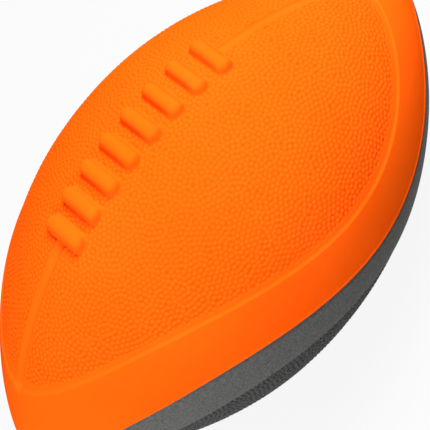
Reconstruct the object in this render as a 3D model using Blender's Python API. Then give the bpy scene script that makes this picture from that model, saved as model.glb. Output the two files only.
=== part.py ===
"""A junior foam football in two moulded colours.

Two dense skins, orange above and grey below, close around a light foam core.
They meet along an S-shaped parting line, and each skin has one sunk grip
panel. The upper skin carries eight moulded lace bars and a centre channel.

The origin is the middle of the ball. X is the long axis, Z points out
through the laces. Lengths are in metres and angles in radians.
"""

import math

import bmesh
import bpy

# Driving sizes of the ball
DIAMETER = 0.133
LENGTH = 0.2298
PROFILE_FULLNESS = 2.096
PROFILE_TIP = 0.782

# Parting line, where the two skins meet
PARTING_WAVE = 0.0114
PARTING_WAVE_FADE = 14
PARTING_GAP = 0.0003
LIP_WIDTH = 0.0012
LIP_HEIGHT = 0.0003
LOWER_EDGE_DROP = 0.0009
LOWER_EDGE_WIDTH = 0.002
EDGE_RELIEF_FADE = 0.009

# Sunk grip panels
UPPER_PANEL_EDGE = 0.0226
LOWER_PANEL_EDGE = 0.0180
PANEL_DEPTH = 0.0007
PANEL_EDGE_WIDTH = 0.0017

# Moulded laces and the channel they sit over
LACE_COUNT = 8
LACE_PITCH = 0.01197
LACE_LENGTH = 0.0208
LACE_WIDTH = 0.0068
LACE_END = 0.0028
LACE_HEIGHT = 0.0036
LACE_ROUNDING = 2.4
LACE_WALL = 0.5
CHANNEL_WIDTH = 0.0052
CHANNEL_DEPTH = 0.0010

# Skins and core
SKIN_THICKNESS = 0.004
SKIN_THICKNESS_AT_TIP = 0.0055
CORE_CLEARANCE = 0.0003

# Mesh resolution
PANEL_LINES = 6
BAND_LINES = 4
BODY_STATIONS = 6
PANEL_TIP_STATIONS = 10
PANEL_TIP_REACH = 0.009
TIP_STATIONS = 6
LOWER_STATIONS = 30
INNER_STATIONS = 34
INNER_LINES = 12
CORE_STATIONS = 22
CORE_SIDES = 24
LACE_LINE_SHARE = 0.14
EDGE_LINE_SHARE = 0.22

SHARP_ANGLE = math.radians(40)

COLOURS = {
    "upper_skin": (0.95, 0.16, 0.008, 1.0),
    "lower_skin": (0.085, 0.085, 0.082, 1.0),
    "foam_core": (0.72, 0.66, 0.50, 1.0),
}
ROUGHNESS = {"upper_skin": 0.45, "lower_skin": 0.6, "foam_core": 0.95}

RADIUS = DIAMETER / 2
HALF_LENGTH = LENGTH / 2
INNER_RADIUS = RADIUS - SKIN_THICKNESS
INNER_HALF_LENGTH = HALF_LENGTH - SKIN_THICKNESS_AT_TIP
LACE_HALF_LENGTH = LACE_LENGTH / 2
LACE_HALF_WIDTH = LACE_WIDTH / 2
LACE_SPAN = (LACE_COUNT - 1) * LACE_PITCH / 2


def clear_scene():
    for item in list(bpy.data.objects):
        bpy.data.objects.remove(item, do_unlink=True)


def smooth_step(value):
    value = min(max(value, 0.0), 1.0)
    return value * value * (3.0 - 2.0 * value)


def profile_radius(x, radius=RADIUS, half_length=HALF_LENGTH):
    """Radius of the ball at a distance x along its long axis."""
    share = min(abs(x) / half_length, 1.0)
    return radius * (1.0 - share ** PROFILE_FULLNESS) ** PROFILE_TIP


def profile_slope(x):
    step = 1e-5
    low = max(x - step, -HALF_LENGTH)
    high = min(x + step, HALF_LENGTH)
    return (profile_radius(high) - profile_radius(low)) / (high - low)


def parting_height(x):
    """Height of the parting surface, one full wave that is level at the tips."""
    share = min(abs(x) / INNER_HALF_LENGTH, 1.0)
    wave = math.sin(math.pi * share) * (1.0 - share ** PARTING_WAVE_FADE)
    return -math.copysign(PARTING_WAVE * wave, x)


def edge_angle(height, radius):
    """Angle from the lace line down to the given height on a section."""
    if radius <= 0.0:
        return 0.0
    return math.acos(min(max(height / radius, -1.0), 1.0))


def tip_position(radius, half_length, height):
    """Where the top of the profile comes down to the given height."""
    share = 1.0 - (height / radius) ** (1.0 / PROFILE_TIP)
    return half_length * share ** (1.0 / PROFILE_FULLNESS)


def station_at_arc(arc):
    """Distance along X of a point at an arc length from the middle."""
    steps = 400
    x = 0.0
    run = 0.0
    step = LACE_SPAN * 1.5 / steps
    while run < abs(arc):
        run += math.hypot(step, profile_radius(x + step) - profile_radius(x))
        x += step
    return math.copysign(x - (run - abs(arc)), arc)


def lace_centres():
    arcs = [index * LACE_PITCH - LACE_SPAN for index in range(LACE_COUNT)]
    return [station_at_arc(arc) for arc in arcs]


LACE_CENTRES = lace_centres()
CHANNEL_END = tip_position(RADIUS, HALF_LENGTH, UPPER_PANEL_EDGE)
LOWER_PANEL_END = tip_position(RADIUS, HALF_LENGTH, LOWER_PANEL_EDGE)


def lace_lift(x, side_arc):
    """Height of the nearest lace bar above the skin."""
    nearest = min(LACE_CENTRES, key=lambda centre: abs(x - centre))
    slope = math.hypot(1.0, profile_slope(x))
    across = abs(x - nearest) * slope / LACE_HALF_WIDTH
    along = max(abs(side_arc) - (LACE_HALF_LENGTH - LACE_END), 0.0) / LACE_END
    reach = math.hypot(across, along)
    if reach >= 1.0:
        return 0.0
    return LACE_HEIGHT * (1.0 - reach ** LACE_ROUNDING) ** LACE_WALL


def channel_drop(x, side_arc):
    """Depth of the channel that runs from the laces to each panel tip."""
    start = LACE_CENTRES[-1] + LACE_HALF_WIDTH
    if not start < abs(x) < CHANNEL_END:
        return 0.0
    across = abs(side_arc) / (CHANNEL_WIDTH / 2)
    return CHANNEL_DEPTH * max(1.0 - across ** 2, 0.0)


def panel_drop(x, height, edge_height):
    """Depth of the grip panel below the smooth band around it."""
    radius = profile_radius(x)
    above = height - (parting_height(x) + edge_height)
    steepness = math.sqrt(max(radius ** 2 - height ** 2, 1e-10)) / max(radius, 1e-6)
    tilt = max(steepness, abs(profile_slope(x)) / math.hypot(1.0, profile_slope(x)))
    distance = above / max(tilt, 0.2)
    return PANEL_DEPTH * smooth_step(0.5 + distance / PANEL_EDGE_WIDTH)


def edge_relief_share(x):
    """The relief along the parting line fades out towards each tip."""
    return smooth_step((HALF_LENGTH - abs(x)) / EDGE_RELIEF_FADE)


def upper_edge_lift(rim_distance):
    """The raised lip that closes the upper skin at the parting line."""
    share = rim_distance / LIP_WIDTH
    if share >= 1.0:
        return 0.0
    return LIP_HEIGHT * math.sin(math.pi * (0.2 + 0.8 * share))


def lower_edge_lift(rim_distance):
    """The lower skin starts slightly inside the lip above it."""
    return -LOWER_EDGE_DROP * (1.0 - smooth_step(rim_distance / LOWER_EDGE_WIDTH))


def upper_lift(x, angle, rim_angle):
    radius = profile_radius(x)
    side_arc = radius * angle
    height = radius * math.cos(angle)
    lift = edge_relief_share(x) * upper_edge_lift(radius * (rim_angle - abs(angle)))
    lift += lace_lift(x, side_arc)
    lift -= channel_drop(x, side_arc)
    return lift - panel_drop(x, height, UPPER_PANEL_EDGE)


def lower_lift(x, angle, rim_angle):
    """The lower skin is made upside down, so it has the wave turned round."""
    radius = profile_radius(x)
    lift = edge_relief_share(x) * lower_edge_lift(radius * (rim_angle - abs(angle)))
    return lift - panel_drop(x, radius * math.cos(angle), LOWER_PANEL_EDGE)


def mirrored(values):
    return [-value for value in reversed(values)]


def upper_stations():
    """Stations along X, closest together at the bars and panel tips."""
    shares = (-1.0, -0.85, -0.5, 0.0, 0.5, 0.85, 1.0)
    offsets = [share * LACE_HALF_WIDTH for share in shares]
    laces = []
    for centre in LACE_CENTRES:
        slope = math.hypot(1.0, profile_slope(centre))
        laces += [centre + offset / slope for offset in offsets]
    channel_start = laces[-1] + LACE_HALF_WIDTH / 3
    outer = [channel_start] + end_stations(channel_start, CHANNEL_END)
    return mirrored(outer) + laces + outer


def end_stations(start, panel_tip):
    """Stations outwards to the tip of the ball, closest at the panel's tip."""
    panel_start = panel_tip - PANEL_TIP_REACH
    panel_end = panel_tip + PANEL_EDGE_WIDTH
    tip = tip_position(RADIUS, HALF_LENGTH, PARTING_GAP / 2)
    spread = [start + (panel_start - start) * (k + 1) / BODY_STATIONS
              for k in range(BODY_STATIONS)]
    spread += [panel_start + (panel_end - panel_start) * (k + 1) / PANEL_TIP_STATIONS
               for k in range(PANEL_TIP_STATIONS)]
    for k in range(TIP_STATIONS - 1):
        share = 0.96 * math.sin(math.pi / 2 * (k + 1) / TIP_STATIONS)
        spread.append(panel_end + (tip - panel_end) * share)
    return spread


def lower_stations():
    start = LOWER_PANEL_END - PANEL_TIP_REACH
    middle = [start * (2.0 * k / LOWER_STATIONS - 1.0) for k in range(1, LOWER_STATIONS)]
    outer = end_stations(start - 0.001, LOWER_PANEL_END)[BODY_STATIONS - 1:]
    return mirrored(outer) + middle + outer


def section_angles(x, rim_angle, lace_arcs, edge_height):
    """Angles of the grid lines on one side of a section, lace line first."""
    radius = profile_radius(x)
    lace_reach = lace_arcs[-1] if lace_arcs else 0.0
    scale = min(1.0, LACE_LINE_SHARE * rim_angle * radius / lace_reach) if lace_arcs else 1.0
    angles = [arc * scale / radius for arc in lace_arcs]
    inner = angles[-1] if angles else 0.0
    edge = edge_angle(parting_height(x) + edge_height, radius)
    edge = max(edge, EDGE_LINE_SHARE * rim_angle)
    spread = min(PANEL_EDGE_WIDTH / 2 / radius, 0.04 * rim_angle)
    start = edge - spread
    angles += [inner + (start - inner) * (k + 1) / PANEL_LINES for k in range(PANEL_LINES)]
    angles += [edge - spread * 0.3, edge + spread * 0.3, edge + spread]
    lip = min(LIP_WIDTH / radius, 0.1 * rim_angle)
    low = edge + spread
    high = rim_angle - lip
    angles += [low + (high - low) * (k + 1) / BAND_LINES for k in range(BAND_LINES)]
    angles += [rim_angle - lip * share for share in (0.65, 0.3, 0.0)]
    return angles


def outer_point(x, angle, lift):
    radius = profile_radius(x)
    slope = profile_slope(x)
    length = math.hypot(1.0, slope)
    reach = radius + lift / length
    return [x - slope * lift / length, reach * math.sin(angle), reach * math.cos(angle)]


def outer_section(x, wave_sign, lift_function, lace_arcs, edge_height):
    """Points of one outer section, from the rim at -Y to the rim at +Y."""
    rim_height = wave_sign * parting_height(x) + PARTING_GAP / 2
    rim_angle = edge_angle(rim_height, profile_radius(x))
    side = section_angles(wave_sign * x, rim_angle, lace_arcs, edge_height)
    angles = mirrored(side) + [0.0] + side
    points = []
    for angle in angles:
        lift = lift_function(wave_sign * x, angle, rim_angle)
        points.append(outer_point(x, angle, lift))
    for rim in (points[0], points[-1]):
        rim[2] = wave_sign * parting_height(rim[0]) + PARTING_GAP / 2
    return points


def inner_section(x, wave_sign):
    radius = profile_radius(x, INNER_RADIUS, INNER_HALF_LENGTH)
    height = wave_sign * parting_height(x) + PARTING_GAP / 2
    rim_angle = edge_angle(height, radius)
    points = []
    for k in range(2 * INNER_LINES + 1):
        angle = rim_angle * (k / INNER_LINES - 1.0)
        points.append([x, radius * math.sin(angle), radius * math.cos(angle)])
    return points


def add_rows(mesh, rows, first_tip, last_tip):
    """Add a grid of sections closed by one vertex at each tip."""
    grid = [[mesh.verts.new(point) for point in row] for row in rows]
    start = mesh.verts.new(first_tip)
    end = mesh.verts.new(last_tip)
    for row, following in zip(grid, grid[1:]):
        for k in range(len(row) - 1):
            mesh.faces.new((row[k], row[k + 1], following[k + 1], following[k]))
    for k in range(len(grid[0]) - 1):
        mesh.faces.new((start, grid[0][k + 1], grid[0][k]))
        mesh.faces.new((end, grid[-1][k], grid[-1][k + 1]))
    near = [start] + [row[0] for row in grid] + [end]
    far = [start] + [row[-1] for row in grid] + [end]
    return near, far


def join_rims(mesh, outer, inner):
    """Fill the flat face between an outer and an inner rim, side by side."""
    i = 0
    j = 0
    while i < len(outer) - 1 or j < len(inner) - 1:
        move_outer = j == len(inner) - 1
        if i < len(outer) - 1 and not move_outer:
            move_outer = outer[i + 1].co.x < inner[j + 1].co.x
        if move_outer:
            mesh.faces.new((outer[i], outer[i + 1], inner[j]))
            i += 1
        else:
            mesh.faces.new((outer[i], inner[j + 1], inner[j]))
            j += 1


def skin_mesh(stations, wave_sign, lift_function, lace_arcs, edge_height):
    """One skin: outer surface, inner surface and the rim between them."""
    mesh = bmesh.new()
    half_gap = PARTING_GAP / 2
    rows = []
    for x in stations:
        rows.append(outer_section(x, wave_sign, lift_function, lace_arcs, edge_height))
    tip = tip_position(RADIUS, HALF_LENGTH, half_gap)
    outer = add_rows(mesh, rows, (-tip, 0.0, half_gap), (tip, 0.0, half_gap))
    inner_tip = tip_position(INNER_RADIUS, INNER_HALF_LENGTH, half_gap)
    inner_rows = []
    for k in range(1, INNER_STATIONS):
        x = -inner_tip * math.cos(math.pi * k / INNER_STATIONS)
        inner_rows.append(inner_section(x, wave_sign))
    inner = add_rows(mesh, inner_rows, (-inner_tip, 0.0, half_gap), (inner_tip, 0.0, half_gap))
    for outer_rim, inner_rim in zip(outer, inner):
        join_rims(mesh, outer_rim, inner_rim)
    return mesh


def make_material(name):
    material = bpy.data.materials.new(name)
    material.use_nodes = True
    shader = material.node_tree.nodes["Principled BSDF"]
    shader.inputs["Base Color"].default_value = COLOURS[name]
    shader.inputs["Roughness"].default_value = ROUGHNESS[name]
    shader.inputs["Metallic"].default_value = 0.0
    material.diffuse_color = COLOURS[name]
    return material


def finish_object(name, mesh):
    """Turn a bmesh into a named, smooth-shaded object facing outwards."""
    bmesh.ops.triangulate(mesh, faces=mesh.faces[:])
    bmesh.ops.recalc_face_normals(mesh, faces=mesh.faces[:])
    data = bpy.data.meshes.new(name)
    mesh.to_mesh(data)
    mesh.free()
    item = bpy.data.objects.new(name, data)
    bpy.context.collection.objects.link(item)
    data.materials.append(make_material(name))
    data.shade_smooth()
    data.set_sharp_from_angle(angle=SHARP_ANGLE)
    return item


def build_upper_skin():
    channel = CHANNEL_WIDTH / 2
    lace_arcs = [channel * 0.5, channel]
    lace_arcs += [LACE_HALF_LENGTH - LACE_END * share for share in (1.0, 0.5, 0.2, 0.0)]
    mesh = skin_mesh(upper_stations(), 1, upper_lift, lace_arcs, UPPER_PANEL_EDGE)
    return finish_object("upper_skin", mesh)


def build_lower_skin():
    """Made like the upper skin, without laces, then turned upside down."""
    mesh = skin_mesh(lower_stations(), -1, lower_lift, [], LOWER_PANEL_EDGE)
    for vertex in mesh.verts:
        vertex.co.z = -vertex.co.z
    return finish_object("lower_skin", mesh)


def build_foam_core():
    radius = INNER_RADIUS - CORE_CLEARANCE
    half_length = INNER_HALF_LENGTH - 2 * CORE_CLEARANCE
    mesh = bmesh.new()
    rings = []
    for k in range(1, CORE_STATIONS):
        x = -half_length * math.cos(math.pi * k / CORE_STATIONS)
        ring_radius = profile_radius(x, radius, half_length)
        ring = []
        for side in range(CORE_SIDES):
            angle = 2.0 * math.pi * side / CORE_SIDES
            position = (x, ring_radius * math.sin(angle), ring_radius * math.cos(angle))
            ring.append(mesh.verts.new(position))
        rings.append(ring)
    start = mesh.verts.new((-half_length, 0.0, 0.0))
    end = mesh.verts.new((half_length, 0.0, 0.0))
    for side in range(CORE_SIDES):
        after = (side + 1) % CORE_SIDES
        mesh.faces.new((start, rings[0][after], rings[0][side]))
        mesh.faces.new((end, rings[-1][side], rings[-1][after]))
        for ring, following in zip(rings, rings[1:]):
            mesh.faces.new((ring[side], ring[after], following[after], following[side]))
    return finish_object("foam_core", mesh)


def main():
    clear_scene()
    build_upper_skin()
    build_lower_skin()
    build_foam_core()


main()
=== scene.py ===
"""Looks of the junior foam football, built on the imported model.

The two CAD skins are replaced by finely meshed ones with the same shape and
a moulded pebble grain. Lengths are in metres and angles in radians.
"""

import math

import bpy
import numpy as np
from mathutils import Matrix, Vector
from mathutils.kdtree import KDTree


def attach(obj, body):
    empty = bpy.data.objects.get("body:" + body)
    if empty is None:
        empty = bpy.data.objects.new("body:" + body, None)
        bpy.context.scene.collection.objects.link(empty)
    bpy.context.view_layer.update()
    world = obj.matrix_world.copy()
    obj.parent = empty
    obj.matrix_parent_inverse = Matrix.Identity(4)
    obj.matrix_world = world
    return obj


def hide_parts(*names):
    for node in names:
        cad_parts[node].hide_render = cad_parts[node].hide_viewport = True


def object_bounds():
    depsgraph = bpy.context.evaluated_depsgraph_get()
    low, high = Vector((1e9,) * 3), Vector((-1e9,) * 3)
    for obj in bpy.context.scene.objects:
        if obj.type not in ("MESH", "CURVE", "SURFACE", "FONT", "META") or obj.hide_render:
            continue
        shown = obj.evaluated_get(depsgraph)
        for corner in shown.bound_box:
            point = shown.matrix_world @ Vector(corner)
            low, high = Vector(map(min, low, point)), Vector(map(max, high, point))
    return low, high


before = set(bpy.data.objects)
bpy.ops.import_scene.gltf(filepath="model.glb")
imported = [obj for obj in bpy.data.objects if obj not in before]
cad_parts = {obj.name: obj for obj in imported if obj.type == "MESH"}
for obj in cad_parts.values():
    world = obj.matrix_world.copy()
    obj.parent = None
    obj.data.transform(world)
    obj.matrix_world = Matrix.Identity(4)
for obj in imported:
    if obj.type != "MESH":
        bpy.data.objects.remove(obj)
CAD_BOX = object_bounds()

# Shape of the ball, the same driving sizes as the solids
DIAMETER = 0.133
LENGTH = 0.2298
PROFILE_FULLNESS = 2.096
PROFILE_TIP = 0.782
PARTING_WAVE = 0.0114
PARTING_WAVE_FADE = 14
PARTING_GAP = 0.0003
SKIN_THICKNESS = 0.004
SKIN_THICKNESS_AT_TIP = 0.0055

# Relief of the skins
LIP_WIDTH = 0.0012
LIP_HEIGHT = 0.0003
LIP_START = 0.25
LOWER_EDGE_DROP = 0.0006
LOWER_EDGE_WIDTH = 0.002
EDGE_RELIEF_FADE = 0.009
UPPER_PANEL_EDGE = 0.0226
LOWER_PANEL_EDGE = 0.0180
PANEL_DEPTH = 0.0007
PANEL_EDGE_WIDTH = 0.0017
CHANNEL_WIDTH = 0.0050
CHANNEL_DEPTH = 0.0012
CHANNEL_SQUARENESS = 3
CHANNEL_RIM = 0.0006
CHANNEL_END_MARGIN = 0.0006

# Lace bars
LACE_COUNT = 8
LACE_PITCH = 0.01197
LACE_LENGTH = 0.0208
LACE_WIDTH = 0.0068
LACE_END = 0.0028
LACE_HEIGHT = 0.0036
LACE_ROUNDING = 2.0
LACE_WALL = 0.5
LACE_FILLET_HEIGHT = 0.0006
LACE_FILLET_REACH = 0.2

# Pebble grain; its margin and fade at the laces count in bar reaches
PEBBLE_PITCH = 0.0021
PEBBLE_RADIUS = 0.0013
PEBBLE_HEIGHT = 0.00055
PEBBLE_VALLEY = 0.15
PEBBLE_PANEL_MARGIN = 0.0012
PEBBLE_LACE_MARGIN = 1.05
PEBBLE_LACE_FADE = 0.25

# Laying out the pebbles
PEBBLE_SEED = 7
PEBBLE_ROW = 0.87
PEBBLE_SHAKE = 0.6
PEBBLE_PUSHES = 24
PEBBLE_NEIGHBOURS = 6
PEBBLE_PUSH_REACH = 1.15
PEBBLE_PUSH_SHARE = 0.3
PEBBLE_LEAST_DISTANCE = 1e-6
PEBBLE_TIP_MARGIN = 0.0005

# Mesh resolution
LACE_ZONE = 0.048
LACE_ZONE_STEP = 0.00040
END_STEP = 0.00044
PANEL_LINES = 190
EDGE_LINES = 14
BAND_LINES = 30
LIP_LINES = 8
LIP_ZONE = 1.1
PANEL_LEAST_SHARE = 0.3
EDGE_MOST_SHARE = 0.08
LIP_MOST_SHARE = 0.05
INNER_LINES = 8
TIP_INSET = 0.0004
SHARP_ANGLE = math.radians(60)
SLOPE_STEP = 1e-5
LEAST_SLANT = 0.2
ARC_SAMPLES = 20001

# Camera, from the outlines, the parting line and the laces in the photograph
CAMERA_TURN = -0.0531
CAMERA_RISE = 0.9020
CAMERA_ROLL = -0.8448
CAMERA_DISTANCE = 0.8259
CAMERA_SENSOR_MM = 36.0
CAMERA_LENS_MM = 180.25
CAMERA_SHIFT = (0.0005, -0.005)
CAMERA_CLIP_END = 20.0

# Lights: name, direction as right, up and towards the camera, distance, size, watts
LIGHTS = (
    ("key", (-0.12, 0.70, 0.71), 0.6, 0.35, 7.3),
    ("low_fill", (-0.34, -0.81, 0.48), 0.9, 0.5, 8.4),
    ("back", (-0.23, 0.95, -0.25), 0.9, 0.5, 0.2),
)
WORLD_STRENGTH = 0.16
WORLD_WHITE_SHARE = 1.0
WHITE = (1.0, 1.0, 1.0, 1.0)

# Floor
FLOOR_DROP = 0.0002
FLOOR_SIZE = 6.0
FLOOR_COLOUR = (0.4, 0.4, 0.4, 1.0)
FLOOR_ROUGHNESS = 0.9
FLOOR_WHITE_SHARE = 0.9

# Materials: noises are scale, detail and roughness, bumps are distance and strength
NOISE_MIDDLE = (0.35, 0.65)
FINE_NOISE_MIDDLE = (0.3, 0.7)
ORANGE_LOOK = {
    "colours": ((0.98, 0.097, 0.003, 1.0), (0.99, 0.107, 0.004, 1.0)),
    # Painted shade: the valleys between the pebbles take a darker, redder colour,
    # strongest where the pebble height is lowest
    "painted_gap_shade_colour": (0.84, 0.050, 0.001, 1.0),
    "painted_gap_shade_heights": (0.25, 0.85),
    "painted_gap_shade_shares": (0.5, 0.0),
    "mottle_noise": (22.0, 3.0, 0.5),
    "coarse_noise": (120.0, 3.0, 0.5),
    "coarse_bump": (0.0006, 0.25),
    "fine_noise": (2600.0, 2.0, 0.5),
    "fine_bump": (0.00004, 0.5),
    "roughness": (0.44, 0.56),
    "specular": 0.0,
}
GREY_LOOK = {
    "colours": ((0.066, 0.067, 0.065, 1.0), (0.118, 0.118, 0.115, 1.0)),
    # Painted shade: the valleys between the pebbles take a near-black colour, strongest
    # where the pebble height is lowest
    "painted_gap_shade_colour": (0.012, 0.012, 0.012, 1.0),
    "painted_gap_shade_heights": (0.3, 1.0),
    "painted_gap_shade_shares": (0.97, 0.15),
    "mottle_noise": (1200.0, 4.0, 0.65),
    "coarse_noise": (420.0, 3.0, 0.6),
    "coarse_bump": (0.0003, 0.5),
    "fine_noise": (1500.0, 3.0, 0.7),
    "fine_bump": (0.00008, 0.6),
    "roughness": (0.5, 0.68),
    "specular": 0.03,
}
CORE_COLOURS = ((0.42, 0.37, 0.26, 1.0), (0.74, 0.68, 0.52, 1.0))
CORE_CELL_SCALE = 900.0
CORE_CELL_REACH = (0.0, 0.8)
CORE_BUMP = (0.0004, 0.8)
CORE_ROUGHNESS = 0.95

# Derived sizes
RADIUS = DIAMETER / 2
HALF_LENGTH = LENGTH / 2
INNER_RADIUS = RADIUS - SKIN_THICKNESS
INNER_HALF_LENGTH = HALF_LENGTH - SKIN_THICKNESS_AT_TIP
LACE_HALF_LENGTH = LACE_LENGTH / 2
LACE_HALF_WIDTH = LACE_WIDTH / 2
LACE_SPAN = (LACE_COUNT - 1) * LACE_PITCH / 2


def smooth_step(value):
    value = np.clip(value, 0.0, 1.0)
    return value * value * (3.0 - 2.0 * value)


def profile_radius(x, radius=RADIUS, half_length=HALF_LENGTH):
    """Radius of the ball of revolution at a place along its long axis."""
    share = np.minimum(np.abs(x) / half_length, 1.0)
    return radius * (1.0 - share ** PROFILE_FULLNESS) ** PROFILE_TIP


def profile_slope(x):
    low = np.maximum(x - SLOPE_STEP, -HALF_LENGTH)
    high = np.minimum(x + SLOPE_STEP, HALF_LENGTH)
    return (profile_radius(high) - profile_radius(low)) / (high - low)


def parting_height(x):
    """Height of the parting line, which swings to both sides of the middle."""
    share = np.minimum(np.abs(x) / INNER_HALF_LENGTH, 1.0)
    wave = np.sin(math.pi * share) * (1.0 - share ** PARTING_WAVE_FADE)
    return -np.sign(x) * PARTING_WAVE * wave


def edge_angle(height, radius):
    """Angle from the lace line down to a height on a section."""
    return np.arccos(np.clip(height / radius, -1.0, 1.0))


def tip_position(radius, half_length, height):
    """Distance from the middle at which the profile is down to a height."""
    share = 1.0 - (height / radius) ** (1.0 / PROFILE_TIP)
    return half_length * share ** (1.0 / PROFILE_FULLNESS)


def arc_table():
    """Arc length along the profile from the middle of the ball."""
    x = np.linspace(-HALF_LENGTH, HALF_LENGTH, ARC_SAMPLES)
    steps = np.hypot(np.diff(x), np.diff(profile_radius(x)))
    arc = np.concatenate([[0.0], np.cumsum(steps)])
    return x, arc - arc[len(arc) // 2]


ARC_X, ARC_LENGTH = arc_table()
LACE_ARCS = np.arange(LACE_COUNT) * LACE_PITCH - LACE_SPAN
LACE_CENTRES = np.interp(LACE_ARCS, ARC_LENGTH, ARC_X)
CHANNEL_START = LACE_CENTRES[-1] + LACE_HALF_WIDTH
CHANNEL_END = tip_position(RADIUS, HALF_LENGTH, UPPER_PANEL_EDGE) - CHANNEL_END_MARGIN


def lace_reach(arc, side):
    """Distance from the nearest bar's middle line, 1 at the bar's foot."""
    nearest = LACE_ARCS[np.abs(arc[..., None] - LACE_ARCS).argmin(axis=-1)]
    across = np.abs(arc - nearest) / LACE_HALF_WIDTH
    straight = LACE_HALF_LENGTH - LACE_END
    along = np.maximum(np.abs(side) - straight, 0.0) / LACE_END
    return np.hypot(across, along)


def lace_lift(reach):
    """Height of a bar, rounded into the skin by a small fillet at its foot."""
    dome = np.clip(1.0 - reach ** LACE_ROUNDING, 0.0, 1.0) ** LACE_WALL
    foot = np.clip(1.0 - (reach - 1.0) / LACE_FILLET_REACH, 0.0, 1.0) ** 2
    foot = np.where(reach > 1.0, foot, 1.0)
    return np.maximum(LACE_HEIGHT * dome, LACE_FILLET_HEIGHT * foot)


def channel_presence(x):
    """1 along the channels, 0 between the outer bars and at the tips."""
    after_start = (np.abs(x) - CHANNEL_START) / (LACE_HALF_WIDTH / 2)
    before_end = (CHANNEL_END - np.abs(x)) / (CHANNEL_WIDTH / 2)
    return smooth_step(after_start) * smooth_step(before_end)


def channel_share(x, side):
    """Share of the channels' depth: a nearly flat bed between two walls."""
    across = np.abs(side) / (CHANNEL_WIDTH / 2)
    bed = np.clip(1.0 - across ** CHANNEL_SQUARENESS, 0.0, 1.0)
    return channel_presence(x) * bed


def beside_channel(x, side):
    """1 where pebbles may stand, 0 on the channels and their rims."""
    beside = smooth_step((np.abs(side) - CHANNEL_WIDTH / 2) / CHANNEL_RIM)
    return 1.0 - channel_presence(x) * (1.0 - beside)


def panel_distance(x, height, edge_height):
    """Distance inside the edge of the grip panel, along the surface."""
    radius = profile_radius(x)
    above = height - (parting_height(x) + edge_height)
    slope = profile_slope(x)
    along = np.abs(slope) / np.hypot(1.0, slope)
    around = np.sqrt(np.maximum(radius ** 2 - height ** 2, 0.0)) / radius
    return above / np.maximum(np.maximum(along, around), LEAST_SLANT)


def panel_share(inside):
    """Share of the panel's depth: a crisp crest, then a soft foot."""
    share = np.clip(0.5 + inside / PANEL_EDGE_WIDTH, 0.0, 1.0)
    return 1.0 - (1.0 - share) ** 2


def edge_relief_share(x):
    """1 along the parting line, 0 at the tips."""
    return smooth_step((HALF_LENGTH - np.abs(x)) / EDGE_RELIEF_FADE)


def upper_edge_lift(rim_distance):
    """The upper skin's lip, a low bead beside the parting line."""
    share = np.clip(rim_distance / LIP_WIDTH, 0.0, 1.0)
    return LIP_HEIGHT * np.sin(math.pi * (LIP_START + (1.0 - LIP_START) * share))


def lower_edge_lift(rim_distance):
    """The lower skin's rounded edge, just under the upper skin's lip."""
    return -LOWER_EDGE_DROP * (1.0 - smooth_step(rim_distance / LOWER_EDGE_WIDTH))


def surface_points(x, angle):
    """Points on the smooth ball; the angle is counted from the lace line."""
    radius = profile_radius(x)
    return np.stack([x, radius * np.sin(angle), radius * np.cos(angle)], axis=-1)


def lifted_points(x, angle, lift):
    """Points moved off the smooth ball, along its own normals."""
    slope = profile_slope(x)
    length = np.hypot(1.0, slope)
    radius = profile_radius(x) + lift / length
    return np.stack([x - slope * lift / length,
                     radius * np.sin(angle),
                     radius * np.cos(angle)], axis=-1)


def loose_pebbles():
    """Pebble middles in staggered rings round the ball, shaken out of line."""
    generator = np.random.default_rng(PEBBLE_SEED)
    row = PEBBLE_PITCH * PEBBLE_ROW
    rings = int(ARC_LENGTH[-1] / row)
    places = []
    for ring in range(-rings, rings + 1):
        x = float(np.interp(ring * row, ARC_LENGTH, ARC_X))
        count = max(int(round(2 * math.pi * profile_radius(x) / PEBBLE_PITCH)), 1)
        angle = 2 * math.pi * (np.arange(count) + 0.5 * (ring % 2)) / count
        places.append(surface_points(np.full(count, x), angle))
    places = np.concatenate(places)
    shake = PEBBLE_PITCH * PEBBLE_SHAKE
    return places + generator.uniform(-shake, shake, places.shape)


def point_tree(places):
    tree = KDTree(len(places))
    for index, place in enumerate(places):
        tree.insert(place, index)
    tree.balance()
    return tree


def pushed_apart(places):
    """The pebble middles after one push from their nearest neighbours."""
    tree = point_tree(places)
    found = [[item[1] for item in tree.find_n(place, PEBBLE_NEIGHBOURS + 1)]
             for place in places]
    away = places[:, None] - places[np.array(found)[:, 1:]]
    distance = np.linalg.norm(away, axis=-1, keepdims=True)
    distance = np.maximum(distance, PEBBLE_LEAST_DISTANCE)
    push = np.clip(PEBBLE_PITCH * PEBBLE_PUSH_REACH - distance, 0.0, None) / distance
    return places + PEBBLE_PUSH_SHARE * (away * push).sum(axis=1)


def packed_pebbles():
    """Pebble middles pushed apart until they lie evenly, as in real leather."""
    places = loose_pebbles()
    last_x = HALF_LENGTH - PEBBLE_TIP_MARGIN
    for _ in range(PEBBLE_PUSHES):
        places = pushed_apart(places)
        x = np.clip(places[:, 0], -last_x, last_x)
        places = surface_points(x, np.arctan2(places[:, 1], places[:, 2]))
    return point_tree(places)


def pebble_domes(x, angle, grain):
    """Height of the rounded pebbles where there is grain, 1 at their tops."""
    places = surface_points(x, angle)
    domes = np.zeros(grain.shape)
    wanted = grain > 0.0
    nearest = np.array([PEBBLE_TREE.find(place)[2] for place in places[wanted]])
    domes[wanted] = np.clip(1.0 - (nearest / PEBBLE_RADIUS) ** 2, PEBBLE_VALLEY, 1.0)
    return domes


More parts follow.
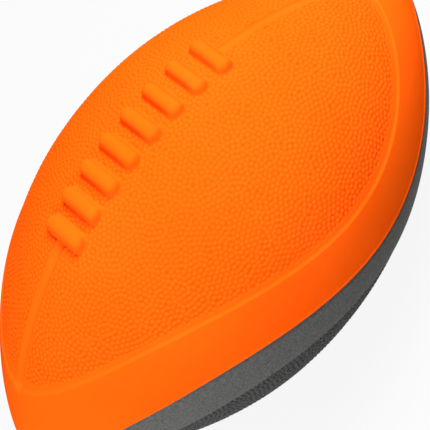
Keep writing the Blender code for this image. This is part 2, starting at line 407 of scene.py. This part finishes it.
def skin_stations():
    """Arc lengths of the sections, closest together under the laces."""
    end_x = tip_position(RADIUS, HALF_LENGTH, PARTING_GAP / 2) - TIP_INSET
    lace_arc = float(np.interp(LACE_ZONE, ARC_X, ARC_LENGTH))
    end_arc = float(np.interp(end_x, ARC_X, ARC_LENGTH))
    middle = np.arange(-lace_arc, lace_arc, LACE_ZONE_STEP)
    count = int((end_arc - lace_arc) / END_STEP)
    outer = np.linspace(lace_arc, end_arc, count)
    return np.concatenate([-outer[::-1], middle[1:], outer])


def spread_lines(start, end, count):
    """Evenly spaced angles after the start, up to and with the end."""
    return start + (end - start) * np.linspace(0.0, 1.0, count + 1)[1:]


def section_lines(x, rim_angle, edge_height):
    """Angles of the grid lines on each section, closest at the two edges."""
    radius = profile_radius(x)[:, None]
    rim = rim_angle[:, None]
    edge = edge_angle(parting_height(x)[:, None] + edge_height, radius)
    edge = np.maximum(edge, PANEL_LEAST_SHARE * rim)
    step = np.minimum(PANEL_EDGE_WIDTH / radius, EDGE_MOST_SHARE * rim)
    lip = np.minimum(LIP_WIDTH * LIP_ZONE / radius, LIP_MOST_SHARE * rim)
    side = [spread_lines(0.0 * rim, edge - step, PANEL_LINES),
            spread_lines(edge - step, edge + step, EDGE_LINES),
            spread_lines(edge + step, rim - lip, BAND_LINES),
            spread_lines(rim - lip, rim, LIP_LINES)]
    side = np.concatenate(side, axis=1)
    return np.concatenate([-side[:, ::-1], 0.0 * rim, side], axis=1)


def add_lace_relief(lift, grain, x, arc, side):
    """Lift with the bars and channels, and grain that keeps clear of them."""
    reach = lace_reach(arc, side)
    lift = lift + lace_lift(reach) - CHANNEL_DEPTH * channel_share(x, side)
    clear = smooth_step((reach - PEBBLE_LACE_MARGIN) / PEBBLE_LACE_FADE)
    return lift, grain * clear * beside_channel(x, side)


def skin_surface(upper):
    """Points of the outer surface, with its pebble height and share of grain."""
    turn = 1.0 if upper else -1.0
    edge_height = UPPER_PANEL_EDGE if upper else LOWER_PANEL_EDGE
    edge_lift = upper_edge_lift if upper else lower_edge_lift
    arc = skin_stations()
    x = np.interp(arc, ARC_LENGTH, ARC_X)
    rim_height = turn * parting_height(x) + PARTING_GAP / 2
    rim_angle = edge_angle(rim_height, profile_radius(x))
    angle = section_lines(turn * x, rim_angle, edge_height)
    x = np.broadcast_to(x[:, None], angle.shape)
    arc = np.broadcast_to(arc[:, None], angle.shape)
    radius = profile_radius(x)
    inside = panel_distance(turn * x, radius * np.cos(angle), edge_height)
    rim_distance = radius * (rim_angle[:, None] - np.abs(angle))
    grain = smooth_step((inside - PEBBLE_PANEL_MARGIN) / PEBBLE_PITCH)
    lift = -PANEL_DEPTH * panel_share(inside)
    lift = lift + edge_relief_share(x) * edge_lift(rim_distance)
    if upper:
        lift, grain = add_lace_relief(lift, grain, x, arc, radius * angle)
    pebbles = pebble_domes(x, angle, grain)
    lift = lift - PEBBLE_HEIGHT * grain * (1.0 - pebbles)
    points = lifted_points(x, angle, lift)
    for rim in (0, -1):
        points[:, rim, 2] = turn * parting_height(points[:, rim, 0]) + PARTING_GAP / 2
    return points, pebbles, grain


def inner_surface(stations, turn):
    """Points of the inner surface, on the same stations scaled inwards."""
    x = stations * (INNER_HALF_LENGTH - TIP_INSET) / np.abs(stations).max()
    radius = profile_radius(x, INNER_RADIUS, INNER_HALF_LENGTH)
    rim_angle = edge_angle(turn * parting_height(x) + PARTING_GAP / 2, radius)
    share = np.linspace(-1.0, 1.0, 2 * INNER_LINES + 1)
    angle = rim_angle[:, None] * share
    x = np.broadcast_to(x[:, None], angle.shape)
    height = radius[:, None] * np.cos(angle)
    return np.stack([x, radius[:, None] * np.sin(angle), height], axis=-1)


def tip_points():
    """Both tips of the outer surface, then both of the inner one."""
    outer_tip = tip_position(RADIUS, HALF_LENGTH, PARTING_GAP / 2)
    ends = (-outer_tip, outer_tip, -INNER_HALF_LENGTH, INNER_HALF_LENGTH)
    return [[x, 0.0, PARTING_GAP / 2] for x in ends]


def grid_faces(index):
    """Four-sided faces over a grid of point numbers."""
    corners = (index[:-1, :-1], index[:-1, 1:], index[1:, 1:], index[1:, :-1])
    return np.stack(corners, axis=-1).reshape(-1, 4)


def tip_faces(row, tip):
    """Fan of triangles between a row of points and a tip."""
    return [[tip, int(b), int(a)] for a, b in zip(row[:-1], row[1:])]


def rim_faces(outer_index, inner_index, side):
    """Faces between the outer and the inner surface along one side's rim."""
    strip = np.stack([inner_index[:-1, side], outer_index[:-1, side],
                      outer_index[1:, side], inner_index[1:, side]], axis=-1)
    return strip[:, ::-1] if side else strip


def end_faces(outer_row, inner_row, outer_tip, inner_tip, far):
    """Faces that close the skin at one of its two ends."""
    outer_fan = tip_faces(outer_row, outer_tip)
    inner_fan = tip_faces(inner_row, inner_tip)
    if far:
        outer_fan = [fan[::-1] for fan in outer_fan]
    else:
        inner_fan = [fan[::-1] for fan in inner_fan]
    faces = outer_fan + inner_fan
    for side in (0, -1):
        rim = [outer_tip, int(outer_row[side]), int(inner_row[side]), inner_tip]
        faces.append(rim if far == (side == 0) else rim[::-1])
    return faces


def skin_faces(rows, columns, inner_columns):
    """Faces over the outer grid, the inner grid and the four tips after them."""
    outer_index = np.arange(rows * columns).reshape(rows, columns)
    inner_index = np.arange(rows * inner_columns).reshape(rows, -1) + rows * columns
    first_tip = rows * (columns + inner_columns)
    faces = grid_faces(outer_index).tolist()
    faces += grid_faces(inner_index)[:, ::-1].tolist()
    for side in (0, -1):
        faces += rim_faces(outer_index, inner_index, side).tolist()
    for end, row in ((0, 0), (1, -1)):
        faces += end_faces(outer_index[row], inner_index[row],
                           first_tip + end, first_tip + 2 + end, end == 1)
    return faces


def new_object(name, data):
    item = bpy.data.objects.new(name, data)
    bpy.context.scene.collection.objects.link(item)
    return item


def store_values(mesh, name, values):
    """Outer surface values for the materials; the other points stay at 0."""
    full = np.zeros(len(mesh.vertices), np.float32)
    full[:values.size] = values.ravel()
    attribute = mesh.attributes.new(name, "FLOAT", "POINT")
    attribute.data.foreach_set("value", full)


def build_skin(name, upper):
    """One closed skin; the lower one is built upside down, then mirrored."""
    outer, pebbles, grain = skin_surface(upper)
    inner = inner_surface(outer[:, outer.shape[1] // 2, 0], 1.0 if upper else -1.0)
    points = np.concatenate([outer.reshape(-1, 3), inner.reshape(-1, 3), tip_points()])
    faces = skin_faces(outer.shape[0], outer.shape[1], inner.shape[1])
    if not upper:
        points[:, 2] = -points[:, 2]
        faces = [face[::-1] for face in faces]
    mesh = bpy.data.meshes.new(name)
    mesh.from_pydata(points.tolist(), [], faces)
    store_values(mesh, "pebble", pebbles)
    store_values(mesh, "grain", grain)
    mesh.shade_smooth()
    mesh.set_sharp_from_angle(angle=SHARP_ANGLE)
    return new_object(name, mesh)


def new_material(name):
    material = bpy.data.materials.new(name)
    material.use_nodes = True
    return material, material.node_tree, material.node_tree.nodes["Principled BSDF"]


def feed(tree, value, target):
    """Link a socket to the target, or set the target to a plain value."""
    if isinstance(value, bpy.types.NodeSocket):
        tree.links.new(value, target)
    else:
        target.default_value = value


def object_position(tree):
    return tree.nodes.new("ShaderNodeTexCoord").outputs["Object"]


def add_noise(tree, scale, detail, roughness):
    noise = tree.nodes.new("ShaderNodeTexNoise")
    noise.inputs["Scale"].default_value = scale
    noise.inputs["Detail"].default_value = detail
    noise.inputs["Roughness"].default_value = roughness
    tree.links.new(object_position(tree), noise.inputs["Vector"])
    return noise.outputs["Fac"]


def add_attribute(tree, name):
    node = tree.nodes.new("ShaderNodeAttribute")
    node.attribute_name = name
    return node.outputs["Fac"]


def add_math(tree, operation, first, second):
    node = tree.nodes.new("ShaderNodeMath")
    node.operation = operation
    feed(tree, first, node.inputs[0])
    feed(tree, second, node.inputs[1])
    return node.outputs[0]


def add_mix(tree, share, first, second):
    """Colour mix; share and either colour may be a socket or a plain value."""
    mix = tree.nodes.new("ShaderNodeMix")
    mix.data_type = "RGBA"
    for socket, value in (("Factor", share), ("A", first), ("B", second)):
        target = [s for s in mix.inputs if s.name == socket and s.enabled][0]
        feed(tree, value, target)
    return [s for s in mix.outputs if s.enabled][0]


def add_range(tree, value, source, result=(0.0, 1.0)):
    """Map the source range to the result range, held at its two ends."""
    node = tree.nodes.new("ShaderNodeMapRange")
    node.inputs["From Min"].default_value = source[0]
    node.inputs["From Max"].default_value = source[1]
    node.inputs["To Min"].default_value = result[0]
    node.inputs["To Max"].default_value = result[1]
    tree.links.new(value, node.inputs["Value"])
    return node.outputs["Result"]


def add_bump(tree, height, size, before=None):
    """Bump of the size, a distance and a strength, over the one before."""
    node = tree.nodes.new("ShaderNodeBump")
    node.inputs["Distance"].default_value = size[0]
    node.inputs["Strength"].default_value = size[1]
    tree.links.new(height, node.inputs["Height"])
    if before is not None:
        tree.links.new(before, node.inputs["Normal"])
    return node.outputs["Normal"]


def skin_material(name, look):
    """Moulded foam skin: mottled, with painted shade darkening the gaps between pebbles.
    """
    material, tree, shader = new_material(name)
    mottle = add_range(tree, add_noise(tree, *look["mottle_noise"]), NOISE_MIDDLE)
    colour = add_mix(tree, mottle, *look["colours"])
    pebble = add_attribute(tree, "pebble")
    # Painted shade: the lower a grained point sits between the pebbles, the more of the
    # dark gap colour it takes
    painted_valley_shade = add_range(tree, pebble, look["painted_gap_shade_heights"], look["painted_gap_shade_shares"])
    painted_valley_shade = add_math(tree, "MULTIPLY", painted_valley_shade, add_attribute(tree, "grain"))
    colour = add_mix(tree, painted_valley_shade, colour, look["painted_gap_shade_colour"])
    tree.links.new(colour, shader.inputs["Base Color"])
    fine = add_noise(tree, *look["fine_noise"])
    roughness = add_range(tree, fine, FINE_NOISE_MIDDLE, look["roughness"])
    tree.links.new(roughness, shader.inputs["Roughness"])
    normal = add_bump(tree, add_noise(tree, *look["coarse_noise"]), look["coarse_bump"])
    normal = add_bump(tree, fine, look["fine_bump"], normal)
    tree.links.new(normal, shader.inputs["Normal"])
    shader.inputs["Specular IOR Level"].default_value = look["specular"]
    return material


def core_material():
    material, tree, shader = new_material("foam_core_cells")
    cells = tree.nodes.new("ShaderNodeTexVoronoi")
    cells.inputs["Scale"].default_value = CORE_CELL_SCALE
    tree.links.new(object_position(tree), cells.inputs["Vector"])
    cell = cells.outputs["Distance"]
    colour = add_mix(tree, add_range(tree, cell, CORE_CELL_REACH), *CORE_COLOURS)
    tree.links.new(colour, shader.inputs["Base Color"])
    tree.links.new(add_bump(tree, cell, CORE_BUMP), shader.inputs["Normal"])
    shader.inputs["Roughness"].default_value = CORE_ROUGHNESS
    return material


def camera_axes():
    """Where the camera stands, and its right and up directions."""
    out = Vector((math.sin(CAMERA_TURN) * math.cos(CAMERA_RISE),
                  -math.cos(CAMERA_TURN) * math.cos(CAMERA_RISE),
                  math.sin(CAMERA_RISE)))
    level_right = Vector((0.0, 0.0, 1.0)).cross(out).normalized()
    level_up = out.cross(level_right)
    right = math.cos(CAMERA_ROLL) * level_right + math.sin(CAMERA_ROLL) * level_up
    up = math.cos(CAMERA_ROLL) * level_up - math.sin(CAMERA_ROLL) * level_right
    return out, right, up


def add_camera():
    out, right, up = camera_axes()
    data = bpy.data.cameras.new("camera")
    data.sensor_width = CAMERA_SENSOR_MM
    data.lens = CAMERA_LENS_MM
    data.shift_x, data.shift_y = CAMERA_SHIFT
    data.clip_end = CAMERA_CLIP_END
    camera = new_object("camera", data)
    turn = Matrix((right, up, out)).transposed().to_4x4()
    camera.matrix_world = Matrix.Translation(out * CAMERA_DISTANCE) @ turn
    bpy.context.scene.camera = camera


def add_area_light(name, direction, distance, size, power):
    """A soft box that faces the ball, placed in the camera's own directions."""
    out, right, up = camera_axes()
    side, height, front = direction
    place = (right * side + up * height + out * front).normalized() * distance
    data = bpy.data.lights.new(name, "AREA")
    data.shape = "DISK"
    data.size = size
    data.energy = power
    light = new_object(name, data)
    light.location = place
    light.rotation_euler = place.to_track_quat("Z", "Y").to_euler()


def white_to_camera(tree, surface, share):
    """Mix of a surface with plain white for the camera and for reflections."""
    path = tree.nodes.new("ShaderNodeLightPath")
    glow = tree.nodes.new("ShaderNodeEmission")
    glow.inputs["Color"].default_value = WHITE
    glow.inputs["Strength"].default_value = 1.0
    seen = path.outputs["Is Camera Ray"]
    for ray in ("Is Glossy Ray", "Is Transmission Ray"):
        seen = add_math(tree, "MAXIMUM", seen, path.outputs[ray])
    mix = tree.nodes.new("ShaderNodeMixShader")
    tree.links.new(add_math(tree, "MULTIPLY", seen, share), mix.inputs["Fac"])
    tree.links.new(surface, mix.inputs[1])
    tree.links.new(glow.outputs["Emission"], mix.inputs[2])
    return mix.outputs["Shader"]


def add_floor():
    mesh = bpy.data.meshes.new("floor")
    half = FLOOR_SIZE / 2
    height = CAD_BOX[0][2] - FLOOR_DROP
    corners = [(-half, -half, height), (half, -half, height),
               (half, half, height), (-half, half, height)]
    mesh.from_pydata(corners, [], [(0, 1, 2, 3)])
    material, tree, shader = new_material("floor")
    shader.inputs["Base Color"].default_value = FLOOR_COLOUR
    shader.inputs["Roughness"].default_value = FLOOR_ROUGHNESS
    shader.inputs["Specular IOR Level"].default_value = 0.0
    seen = white_to_camera(tree, shader.outputs["BSDF"], FLOOR_WHITE_SHARE)
    tree.links.new(seen, tree.nodes["Material Output"].inputs["Surface"])
    mesh.materials.append(material)
    new_object("floor", mesh)


def add_world():
    world = bpy.data.worlds.new("studio")
    world.use_nodes = True
    tree = world.node_tree
    background = tree.nodes["Background"]
    background.inputs["Color"].default_value = WHITE
    background.inputs["Strength"].default_value = WORLD_STRENGTH
    surface = background.outputs["Background"]
    seen = white_to_camera(tree, surface, WORLD_WHITE_SHARE)
    tree.links.new(seen, tree.nodes["World Output"].inputs["Surface"])
    bpy.context.scene.world = world


def dress_skin(name, node, upper, material):
    piece = build_skin(name, upper)
    piece.data.materials.append(material)
    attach(piece, "root")
    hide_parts(node)


def dress_core():
    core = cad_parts["foam_core"]
    core.data.materials.clear()
    core.data.materials.append(core_material())


PEBBLE_TREE = packed_pebbles()
orange = skin_material("orange_foam_skin", ORANGE_LOOK)
dress_skin("orange_skin", "upper_skin", True, orange)
grey = skin_material("grey_foam_skin", GREY_LOOK)
dress_skin("grey_skin", "lower_skin", False, grey)
dress_core()
add_camera()
add_world()
for light_row in LIGHTS:
    add_area_light(*light_row)
add_floor()
bpy.context.scene.view_settings.view_transform = "Standard"
